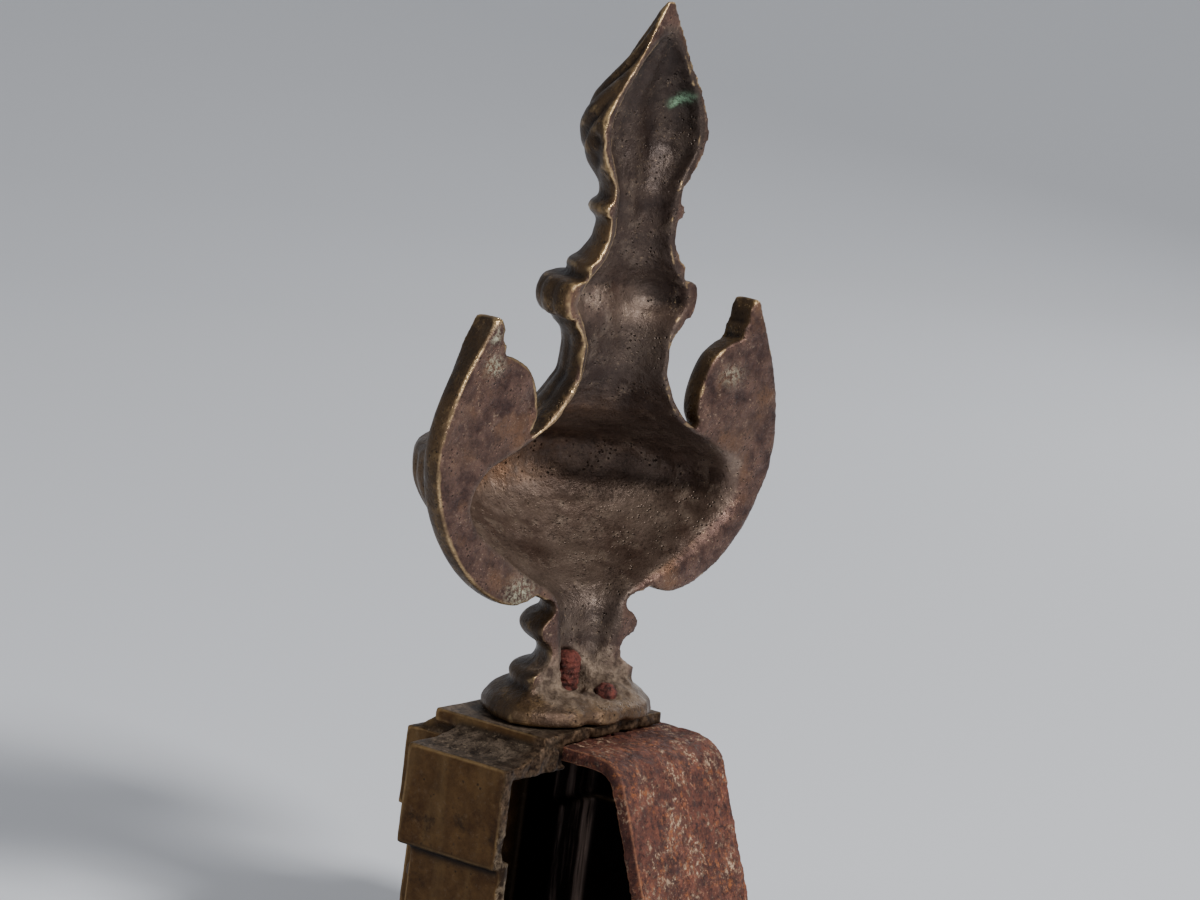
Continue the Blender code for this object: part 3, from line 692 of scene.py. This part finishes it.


# Each finish is built from shader nodes, and wear, pits and specks are groups
# that some finishes place with their own values.
class Nodes:
    def __init__(self, tree):
        self.tree = tree

    def feed(self, socket, value):
        if isinstance(value, (int, float)):
            socket.default_value = value
        elif isinstance(value, tuple):
            socket.default_value = (value[0], value[1], value[2], 1.0)
        else:
            self.tree.links.new(value, socket)

    def attribute(self, name):
        node = self.tree.nodes.new("ShaderNodeAttribute")
        node.attribute_name = name
        return node.outputs["Fac"]

    def noise(self, scale, detail=5.0, rough=0.6, stretch=None):
        node = self.tree.nodes.new("ShaderNodeTexNoise")
        self.feed(node.inputs["Scale"], scale)
        node.inputs["Detail"].default_value = detail
        node.inputs["Roughness"].default_value = rough
        source = self.place
        if stretch:
            mapping = self.tree.nodes.new("ShaderNodeMapping")
            mapping.inputs["Scale"].default_value = stretch
            self.tree.links.new(self.place, mapping.inputs["Vector"])
            source = mapping.outputs["Vector"]
        self.tree.links.new(source, node.inputs["Vector"])
        return node.outputs["Fac"]

    def spots(self, scale):
        node = self.tree.nodes.new("ShaderNodeTexVoronoi")
        self.feed(node.inputs["Scale"], scale)
        self.tree.links.new(self.place, node.inputs["Vector"])
        return node.outputs["Distance"]

    def ramp(self, value, low, high, out_low=0.0, out_high=1.0):
        node = self.tree.nodes.new("ShaderNodeMapRange")
        node.inputs["From Min"].default_value = low
        node.inputs["From Max"].default_value = high
        node.inputs["To Min"].default_value = out_low
        node.inputs["To Max"].default_value = out_high
        self.tree.links.new(value, node.inputs["Value"])
        return node.outputs["Result"]

    def math(self, kind, a, b):
        node = self.tree.nodes.new("ShaderNodeMath")
        node.operation = kind
        self.feed(node.inputs[0], a)
        self.feed(node.inputs[1], b)
        return node.outputs["Value"]

    def times(self, a, b):
        return self.math("MULTIPLY", a, b)

    def plus(self, a, b):
        return self.math("ADD", a, b)

    def minus(self, a, b):
        return self.math("SUBTRACT", a, b)

    def mix(self, factor, a, b):
        node = self.tree.nodes.new("ShaderNodeMix")
        node.data_type = "RGBA"
        self.tree.links.new(factor, node.inputs["Factor"])
        for key, value in (("A", a), ("B", b)):
            self.feed([i for i in node.inputs if i.name == key and i.type == "RGBA"][0], value)
        return [o for o in node.outputs if o.type == "RGBA"][0]

    def relief(self, value, strength, distance):
        node = self.tree.nodes.new("ShaderNodeBump")
        node.inputs["Strength"].default_value = strength
        node.inputs["Distance"].default_value = distance
        self.tree.links.new(value, node.inputs["Height"])
        return node.outputs["Normal"]

    def effect(self, group, values):
        node = self.tree.nodes.new("ShaderNodeGroup")
        node.node_tree = group.tree
        self.feed(node.inputs["Place"], self.place)
        for name, value in values.items():
            self.feed(node.inputs[name], value)
        return node.outputs


class Finish(Nodes):
    def __init__(self, name):
        self.material = bpy.data.materials.new(name)
        self.material.use_nodes = True
        super().__init__(self.material.node_tree)
        self.shader = self.tree.nodes["Principled BSDF"]
        self.place = self.tree.nodes.new("ShaderNodeTexCoord").outputs["Object"]

    def set(self, name, value):
        self.feed(self.shader.inputs[name], value)


class Effect(Nodes):
    def __init__(self, name, colours, numbers, results):
        super().__init__(bpy.data.node_groups.new(name, "ShaderNodeTree"))
        sockets = self.tree.interface
        sockets.new_socket(name="Place", in_out="INPUT", socket_type="NodeSocketVector")
        for colour_name in colours:
            sockets.new_socket(name=colour_name, in_out="INPUT", socket_type="NodeSocketColor")
        for number_name in numbers:
            sockets.new_socket(name=number_name, in_out="INPUT", socket_type="NodeSocketFloat")
        sockets.new_socket(name="Colour", in_out="OUTPUT", socket_type="NodeSocketColor")
        for result_name in results:
            sockets.new_socket(name=result_name, in_out="OUTPUT", socket_type="NodeSocketFloat")
        self.given = self.tree.nodes.new("NodeGroupInput").outputs
        self.result = self.tree.nodes.new("NodeGroupOutput").inputs
        self.place = self.given["Place"]


def edge_wear():
    wear = Effect("worn edge", ("Colour", "Bare Metal"), ("Edge", "Amount"), ("Worn",))
    given = wear.given
    worn = wear.ramp(given["Edge"], 0.42, 0.80)
    worn = wear.times(worn, wear.ramp(wear.noise(1100.0, 4.0, 0.7), 0.30, 0.52, 0.35, 1.0))
    worn = wear.times(worn, wear.ramp(wear.noise(150.0, 3.0), 0.38, 0.56, 0.25, 1.0))
    worn = wear.times(worn, given["Amount"])
    wear.feed(wear.result["Colour"], wear.mix(worn, given["Colour"], given["Bare Metal"]))
    wear.feed(wear.result["Worn"], worn)
    return wear


def casting_pits():
    pitting = Effect("casting pits", ("Colour", "Pit Colour"), ("Pit Scale", "Cover"), ("Pits",))
    given = pitting.given
    pits = pitting.ramp(pitting.spots(given["Pit Scale"]), 0.10, 0.28, 1.0, 0.0)
    pits = pitting.times(pits, given["Cover"])
    stained = pitting.mix(pitting.times(pits, 0.8), given["Colour"], given["Pit Colour"])
    pitting.feed(pitting.result["Colour"], stained)
    pitting.feed(pitting.result["Pits"], pits)
    return pitting


def dark_and_pale_specks():
    specks = Effect(
        "dark and pale specks",
        ("Colour", "Dark Colour", "Pale Colour"),
        ("Dark Scale", "Dark Cover", "Pale Scale", "Pale Cover"),
        (),
    )
    given = specks.given
    dark = specks.ramp(specks.noise(given["Dark Scale"], 5.0, 0.8), 0.50, 0.60)
    pale = specks.ramp(specks.noise(given["Pale Scale"], 5.0, 0.8), 0.56, 0.63)
    colour = specks.mix(specks.times(dark, given["Dark Cover"]), given["Colour"], given["Dark Colour"])
    colour = specks.mix(specks.times(pale, given["Pale Cover"]), colour, given["Pale Colour"])
    specks.feed(specks.result["Colour"], colour)
    return specks


def patinated_brass():
    gold = (0.56, 0.39, 0.20)
    deep_brown = (0.010, 0.006, 0.005)
    look = Finish("patinated brass casting")
    inside_part = look.attribute("inside")
    back_part = look.attribute("back")
    shade_and_patina_part = look.attribute("shade_and_patina")
    broad = look.noise(55.0, 4.0)
    middle = look.noise(240.0, 6.0, 0.65)
    grain = look.noise(1100.0, 4.0, 0.7)
    tiny = look.noise(2600.0, 3.0, 0.7)

    front = look.mix(look.ramp(broad, 0.35, 0.65), (0.040, 0.025, 0.015), (0.110, 0.064, 0.028))
    front = look.mix(look.ramp(middle, 0.52, 0.72), front, (0.185, 0.115, 0.050))
    rear = look.mix(look.ramp(middle, 0.38, 0.64), (0.044, 0.022, 0.018), (0.128, 0.072, 0.055))
    rear = look.mix(look.ramp(broad, 0.48, 0.70, 0.0, 0.6), rear, (0.140, 0.084, 0.058))
    blotch = look.ramp(look.noise(110.0, 5.0), 0.54, 0.70, 0.0, 0.6)
    rear = look.mix(blotch, rear, (0.165, 0.080, 0.040))
    flecks = look.ramp(look.noise(1500.0, 4.0, 0.7), 0.58, 0.70, 0.0, 0.6)
    rear = look.mix(look.times(flecks, look.ramp(middle, 0.44, 0.58)), rear, (0.30, 0.19, 0.11))
    dust = look.mix(look.ramp(broad, 0.36, 0.66), (0.080, 0.048, 0.036), (0.190, 0.136, 0.106))
    dust = look.mix(look.ramp(middle, 0.52, 0.66), dust, (0.215, 0.158, 0.122))
    colour = look.mix(back_part, front, rear)
    colour = look.mix(inside_part, colour, dust)
    # Painted shade with dark patina darkens the colour of the hollow's inside.
    shade_and_patina_mask = look.times(shade_and_patina_part, look.ramp(middle, 0.30, 0.62, 1.0, 0.82))
    colour = look.mix(shade_and_patina_mask, colour, (0.011, 0.006, 0.005))
    # Painted light: a warm lit patch painted into the colour of the hollow.
    painted_light_mask = look.times(look.attribute("painted_light"), look.ramp(middle, 0.36, 0.58))
    colour = look.mix(painted_light_mask, colour, (0.175, 0.078, 0.032))
    colour = look.mix(look.times(look.attribute("groove"), 0.85), colour, deep_brown)

    patchy = look.noise(190.0, 6.0, 0.7)
    pale_cover = look.ramp(patchy, 0.50, 0.60, 0.07, 0.9)
    pale_cover = look.times(pale_cover, look.ramp(shade_and_patina_part, 0.2, 0.9, 1.0, 0.35))
    colour = look.effect(specks, {
        "Colour": colour,
        "Dark Colour": (0.014, 0.008, 0.007),
        "Pale Colour": (0.330, 0.235, 0.165),
        "Dark Scale": 1500.0,
        "Dark Cover": look.ramp(patchy, 0.42, 0.56, 0.70, 0.10),
        "Pale Scale": 1300.0,
        "Pale Cover": look.times(pale_cover, look.ramp(back_part, 0.0, 1.0, 0.25, 0.85)),
    })["Colour"]
    pitted = look.effect(pits, {
        "Colour": colour,
        "Pit Colour": deep_brown,
        "Pit Scale": 900.0,
        "Cover": look.ramp(middle, 0.48, 0.58),
    })
    rubbed = look.effect(wear, {
        "Colour": pitted["Colour"],
        "Bare Metal": gold,
        "Edge": look.attribute("edge"),
        "Amount": 1.0,
    })

    collar_part = look.attribute("collar")
    glint = look.ramp(look.noise(1700.0, 4.0, 0.75), 0.60, 0.66)
    glint = look.times(glint, look.ramp(collar_part, 0.0, 1.0, 0.35, 1.3))
    glint = look.times(glint, look.ramp(middle, 0.46, 0.60))
    colour = look.mix(look.times(glint, 0.85), rubbed["Colour"], (0.58, 0.41, 0.24))
    crumb_mask = look.times(look.attribute("crumb"), look.ramp(grain, 0.36, 0.54, 0.45, 1.0))
    mortar = look.mix(look.ramp(middle, 0.4, 0.6), (0.060, 0.038, 0.026), (0.270, 0.200, 0.145))
    colour = look.mix(crumb_mask, colour, mortar)
    pale_mask = look.times(look.attribute("pale"), look.ramp(grain, 0.44, 0.60))
    colour = look.mix(pale_mask, colour, (0.42, 0.41, 0.30))
    green_mask = look.times(look.attribute("green"), look.ramp(grain, 0.32, 0.44))
    look.set("Base Color", look.mix(green_mask, colour, (0.24, 0.40, 0.25)))

    crust_mask = look.math("MAXIMUM", crumb_mask, look.math("MAXIMUM", pale_mask, green_mask))
    metal = look.plus(look.ramp(rubbed["Worn"], 0.0, 1.0, 0.62, 1.0), look.times(glint, 0.35))
    metal = look.minus(metal, look.times(inside_part, 0.12))
    look.set("Metallic", look.minus(metal, look.times(crust_mask, 0.3)))
    look.set("Specular IOR Level", 0.35)
    rough = look.ramp(look.noise(170.0, 6.0, 0.7), 0.36, 0.60, 0.29, 0.52)
    rough = look.plus(rough, look.times(collar_part, 0.16))
    rough = look.plus(rough, look.times(crust_mask, 0.25))
    look.set("Roughness", look.minus(rough, look.times(rubbed["Worn"], 0.16)))
    surface = look.plus(look.times(grain, 0.28), look.times(middle, 1.1))
    surface = look.minus(surface, look.times(pitted["Pits"], 0.7))
    surface = look.plus(surface, look.times(look.times(tiny, crust_mask), 0.9))
    look.set("Normal", look.relief(surface, 0.7, 0.0007))
    return look.material


wear = edge_wear()
pits = casting_pits()
specks = dark_and_pale_specks()
dress(mesh, patinated_brass())
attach(urn, "root")
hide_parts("urn")

# Pedestal
# A hollow brass casting with a plate, sloping roof, block and dado, rough
# along the edges where the walls stop at the back.
PEDESTAL_SKIN = 0.62
WELD_GAP = 0.00002
DROP_LOBES = 6
DROP_X = 28.6
DROP_Y = -15.6
DROP_TOP = 33.0
DROP_STEP = 3.9
DROP_SWAY = 1.7
CUT_WIDTH = 1.3
CORNER_WEAR = 2.6


def from_frame(node, name):
    source = bpy.data.objects[node].data.copy()
    obj = bpy.data.objects.new(name, source)
    bpy.context.scene.collection.objects.link(obj)
    bm = bmesh.new()
    bm.from_mesh(source)
    bmesh.ops.remove_doubles(bm, verts=bm.verts, dist=WELD_GAP)
    bmesh.ops.recalc_face_normals(bm, faces=bm.faces)
    bm.to_mesh(source)
    bm.free()
    return obj


def add_leaf_drop(mesh, side):
    bm = bmesh.new()
    bm.from_mesh(mesh)
    for k in range(DROP_LOBES):
        sway = DROP_SWAY * math.sin(k * 2.3)
        place = Vector((side * (DROP_X + sway), DROP_Y + CENTRE_Y, DROP_TOP - DROP_STEP * k))
        size = ((3.3 - 0.25 * k) * MM, (2.5 - 0.15 * k) * MM, (2.9 - 0.2 * k) * MM, 1.0)
        form = Matrix.Translation(place * MM) @ Matrix.Rotation(side * 0.5 * math.cos(k * 1.9), 4, "Y")
        bmesh.ops.create_icosphere(bm, subdivisions=3, radius=1.0, matrix=form @ Matrix.Diagonal(size))
    bm.to_mesh(mesh)
    bm.free()


def olive_brass():
    black_brown = (0.022, 0.013, 0.008)
    look = Finish("olive brass casting")
    top_part = look.attribute("top")
    middle = look.noise(260.0, 6.0, 0.65)
    grain = look.noise(1200.0, 4.0, 0.7)
    bands = look.noise(120.0, 3.0, 0.5, (1.0, 1.0, 0.12))
    colour = look.mix(look.ramp(middle, 0.36, 0.66), (0.052, 0.025, 0.010), (0.112, 0.060, 0.024))
    colour = look.mix(look.ramp(bands, 0.50, 0.68), colour, (0.150, 0.092, 0.040))
    blotch = look.ramp(look.noise(180.0, 6.0, 0.7), 0.56, 0.68, 0.0, 0.75)
    colour = look.mix(blotch, colour, black_brown)
    dust = look.mix(look.ramp(middle, 0.36, 0.64), black_brown, (0.200, 0.150, 0.110))
    colour = look.mix(top_part, colour, dust)
    colour = look.mix(look.times(look.attribute("groove"), 0.8), colour, (0.012, 0.009, 0.007))
    colour = look.effect(specks, {
        "Colour": colour,
        "Dark Colour": (0.012, 0.008, 0.006),
        "Pale Colour": (0.260, 0.195, 0.135),
        "Dark Scale": 1500.0,
        "Dark Cover": look.ramp(top_part, 0.0, 1.0, 0.20, 0.8),
        "Pale Scale": 700.0,
        "Pale Cover": look.ramp(top_part, 0.0, 1.0, 0.12, 0.85),
    })["Colour"]
    pitted = look.effect(pits, {
        "Colour": colour,
        "Pit Colour": (0.014, 0.010, 0.007),
        "Pit Scale": 700.0,
        "Cover": look.ramp(middle, 0.54, 0.62),
    })
    rubbed = look.effect(wear, {
        "Colour": pitted["Colour"],
        "Bare Metal": (0.34, 0.22, 0.10),
        "Edge": look.attribute("edge"),
        "Amount": 0.75,
    })

    coarse = look.ramp(look.noise(420.0, 6.0, 0.7), 0.44, 0.62)
    broken = look.mix(coarse, (0.026, 0.015, 0.009), (0.24, 0.18, 0.120))
    colour = look.mix(look.attribute("cut"), rubbed["Colour"], broken)
    gritty = look.ramp(look.noise(900.0, 5.0, 0.7), 0.42, 0.64)
    dirt = look.mix(gritty, (0.016, 0.009, 0.006), (0.120, 0.076, 0.048))
    colour = look.mix(look.times(look.attribute("dirt"), 0.85), colour, dirt)
    # Painted shade: the hollow's inner walls are painted dark with lighter streaks, and the far wall
    # almost black.
    streaks = look.noise(260.0, 4.0, 0.6, (1.0, 1.0, 0.08))
    shade = look.mix(look.ramp(streaks, 0.46, 0.62), (0.008, 0.005, 0.004), (0.170, 0.125, 0.110))
    shade = look.mix(look.attribute("far_wall"), (0.005, 0.003, 0.003), shade)
    look.set("Base Color", look.mix(look.attribute("hidden"), colour, shade))

    look.set("Metallic", look.ramp(rubbed["Worn"], 0.0, 0.7, 0.60, 0.95))
    look.set("Specular IOR Level", 0.15)
    look.set("Roughness", look.ramp(middle, 0.3, 0.7, 0.44, 0.64))
    surface = look.plus(look.times(grain, 0.4), look.times(middle, 0.7))
    surface = look.minus(surface, look.times(pitted["Pits"], 0.5))
    look.set("Normal", look.relief(surface, 0.5, 0.0004))
    return look.material


pedestal = from_frame("pedestal", "pedestal_casting")
add_leaf_drop(pedestal.data, 1.0)
add_leaf_drop(pedestal.data, -1.0)
skin(pedestal, PEDESTAL_SKIN)
mesh = pedestal.data
points = neighbour_mean(mesh, points_of(mesh), 2)
place_points(mesh, points)
curve = bulge(mesh, 5)
facing = normals_of(mesh)

# The cut edges at the back are ragged, and the plate crumbles there.
near_cut = share(1.0 - (CUT_BACK + CENTRE_Y - points[:, 1]) / CUT_WIDTH)
ragged = cloud(points, 0.30, 4) * 0.9 + cloud(points, 0.9, 5) * 0.5
points[:, 1] -= near_cut * np.clip(0.25 + ragged * 0.6, 0.0, 1.2)
lump = cloud(points, 0.10, 6) * 0.22 + cloud(points, 0.5, 7) * 0.07
points = points + facing * lump[:, None] * 0.8
x, y, z = points.T
crumble = rise(z, 58.6, 0.6) * rise(y, CENTRE_Y + 4.4, 1.6) * rise(x, CENTRE_X - 22.0, 4.0)
far_corner = fall(x, CENTRE_X - 24.0, 1.5) * rise(z, 49.0, 6.0) * rise(y, CENTRE_Y - 6.0, 6.0)
points[:, 2] -= CORNER_WEAR * far_corner
bites = 0.3 + cloud(points, 0.42, 15) * 1.1 + cloud(points, 1.1, 16) * 0.5
points[:, 1] -= crumble * np.clip(bites, 0.0, 0.9)
points = np.clip(points, box_low + BOX_GAP, box_high - BOX_GAP)
x, y, z = points.T
points[:, 2] = np.where(z > PLATE_TOP - 1.0, np.minimum(z, PLATE_TOP), z)
place_points(mesh, points)

# Dust on top, painted shade inside and on the far wall, and dirt along the break.
store(mesh, "edge", share(curve / 0.16))
store(mesh, "groove", share(-curve / 0.12))
store(mesh, "cut", near_cut * share(facing[:, 1] * 2.4 - 0.9))
store(mesh, "top", share((facing[:, 2] - 0.35) * 1.8))
# Painted shade: inward-facing walls inside the hollow and the far wall are marked to be painted dark.
inward = share(-(facing[:, 0] * np.sign(x - CENTRE_X)) * 2.0)
inward = inward + share(facing[:, 1] * 2.0) + share(-facing[:, 2] * 2.0)
hidden = share(inward) * (1.0 - near_cut) * (z < 58.0) * (y > -24.0)
store(mesh, "hidden", neighbour_mean(mesh, hidden, 2))
store(mesh, "far_wall", share(facing[:, 1] * 2.0 - 0.8) * (y < -10.0))
plate_back = rise(z, 56.5, 2.0) * rise(y, CENTRE_Y + 3.6, 2.0)
store(mesh, "dirt", plate_back + near_cut * rise(z, 42.0, 4.0))
dress(mesh, olive_brass())
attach(pedestal, "root")
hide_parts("pedestal")

# Iron strap
# One bar of flat iron, bent down behind the plate and rusted all over, with
# scale and pits in layers.
STRAP_SKIN = 0.45


def red_brown_rust():
    look = Finish("red brown rust")
    broad = look.noise(70.0, 5.0, 0.6)
    middle = look.noise(300.0, 8.0, 0.72)
    grain = look.noise(900.0, 6.0, 0.75)
    colour = look.mix(look.ramp(middle, 0.36, 0.64), (0.034, 0.010, 0.009), (0.200, 0.068, 0.042))
    colour = look.mix(look.ramp(broad, 0.48, 0.68, 0.0, 0.8), colour, (0.150, 0.058, 0.042))
    stains = look.ramp(look.noise(110.0, 6.0, 0.7), 0.46, 0.58, 0.0, 0.75)
    colour = look.mix(stains, colour, (0.040, 0.014, 0.011))
    orange = look.ramp(look.noise(700.0, 7.0, 0.75), 0.52, 0.62)
    orange = look.times(look.ramp(broad, 0.44, 0.54), orange)
    colour = look.mix(look.times(orange, 0.8), colour, (0.36, 0.120, 0.036))
    dark = look.ramp(look.noise(620.0, 7.0, 0.75), 0.52, 0.64)
    colour = look.mix(look.times(dark, 0.85), colour, (0.022, 0.009, 0.008))
    colour = look.effect(specks, {
        "Colour": colour,
        "Dark Colour": (0.016, 0.006, 0.006),
        "Pale Colour": (0.430, 0.230, 0.140),
        "Dark Scale": 900.0,
        "Dark Cover": 0.85,
        "Pale Scale": 1000.0,
        "Pale Cover": look.ramp(look.noise(150.0, 6.0, 0.7), 0.47, 0.57, 0.05, 0.8),
    })["Colour"]
    cream = look.ramp(look.noise(130.0, 6.0, 0.7), 0.50, 0.60)
    cream = look.times(look.ramp(grain, 0.52, 0.60), cream)
    colour = look.mix(look.times(cream, 0.85), colour, (0.55, 0.38, 0.25))
    colour = look.mix(look.times(look.attribute("pit"), 0.35), colour, (0.040, 0.014, 0.012))
    colour = look.effect(wear, {
        "Colour": colour,
        "Bare Metal": (0.46, 0.20, 0.10),
        "Edge": look.attribute("edge"),
        "Amount": 0.6,
    })["Colour"]
    look.set("Base Color", colour)
    look.set("Metallic", 0.0)
    look.set("Specular IOR Level", 0.25)
    look.set("Roughness", look.ramp(middle, 0.3, 0.7, 0.50, 0.90))
    surface = look.plus(look.times(grain, 0.6), middle)
    look.set("Normal", look.relief(surface, 0.8, 0.0006))
    return look.material


strap = from_frame("iron_strap", "rusted_strap")
skin(strap, STRAP_SKIN)
mesh = strap.data
points = neighbour_mean(mesh, points_of(mesh), 3)
place_points(mesh, points)
curve = bulge(mesh, 5)
facing = normals_of(mesh)
scale_layer = cloud(points, 0.16, 8)
flakes = np.clip(cloud(points, 0.45, 9) * 3.0, -1.0, 1.0)
pit = share(cloud(points, 1.1, 10) - 0.25)
points = points + facing * (-0.12 + 0.20 * scale_layer + 0.10 * flakes - 0.45 * pit)[:, None]
points = np.clip(points, box_low + BOX_GAP, box_high - BOX_GAP)
place_points(mesh, points)
store(mesh, "edge", share(curve / 0.16))
store(mesh, "pit", share(pit * 3.0 + 0.4 - flakes * 0.4))
dress(mesh, red_brown_rust())
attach(strap, "root")
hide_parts("iron_strap")

# Fixing stud and locating pin
# Two iron studs through the foot, plate and strap, their threads rounded and
# crusted with red rust.
THREAD_PITCH = 1.25
THREAD_DEPTH = 0.20
ROD_STEP = 0.16
ROD_SIDES = 48
END_ROUND = 1.5
RUST_LUMP = 0.55
RUST_GRAIN = 0.24
RUST_LOSS = 0.02


def crusted_rust():
    look = Finish("crusted red rust")
    middle = look.noise(600.0, 6.0, 0.7)
    grain = look.noise(1800.0, 4.0, 0.7)
    colour = look.mix(look.ramp(middle, 0.40, 0.60), (0.026, 0.008, 0.007), (0.150, 0.040, 0.030))
    look.set("Base Color", look.mix(look.ramp(grain, 0.60, 0.74), colour, (0.30, 0.14, 0.09)))
    look.set("Roughness", 0.75)
    look.set("Specular IOR Level", 0.25)
    look.set("Normal", look.relief(look.plus(grain, middle), 0.8, 0.0005))
    return look.material


def threaded_rod(node, name, radius, seed, material):
    low, high = (Vector(corner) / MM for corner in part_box(node))
    middle = (low + high) / 2
    steps = int((high.z - low.z) / ROD_STEP)
    verts = []
    for j in range(steps + 1):
        z = low.z + (high.z - low.z) * j / steps
        end = max(min(1.0, (high.z - z) / 1.9, (z - low.z) / 0.9), 0.0)
        for i in range(ROD_SIDES):
            a = 2 * math.pi * i / ROD_SIDES
            crest = 0.5 + 0.5 * math.cos(2 * math.pi * z / THREAD_PITCH - a)
            r = radius - THREAD_DEPTH * (1.0 - crest) - END_ROUND * (1.0 - end) ** 2
            place = Vector((math.cos(a) * radius, math.sin(a) * radius, z + seed))
            r -= RUST_LUMP * abs(noise.noise(place * 0.55)) + RUST_GRAIN * abs(noise.noise(place * 1.7))
            r -= RUST_LOSS
            verts.append(((middle.x + r * math.cos(a)) * MM, (middle.y + r * math.sin(a)) * MM, z * MM))
    faces = grid_faces(steps + 1, ROD_SIDES, True) + end_faces(steps + 1, ROD_SIDES)
    rod = closed_mesh(name, verts, faces)
    for face in rod.data.polygons:
        face.use_smooth = len(face.vertices) == 4
    rod.data.materials.append(material)
    return rod


rust = crusted_rust()
for node, name, radius, seed in (
    ("fixing_stud", "threaded_stud", 3.05, 3.0),
    ("locating_pin", "threaded_pin", 2.7, 41.0),
):
    rod = threaded_rod(node, name, radius, seed, rust)
    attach(rod, "root")
    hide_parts(node)

# Pin nut
# A plain forged iron nut drawn up under the strap on the locating pin, its
# corners worn round by rust.
NUT_SKIN = 0.22
nut = from_frame("pin_nut", "rusted_nut")
skin(nut, NUT_SKIN)
mesh = nut.data
points = neighbour_mean(mesh, points_of(mesh), 3)
points = points - normals_of(mesh) * (0.06 + 0.12 * np.abs(cloud(points, 0.8, 12)))[:, None]
place_points(mesh, points)
dress(mesh, rust)
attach(nut, "root")
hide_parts("pin_nut")
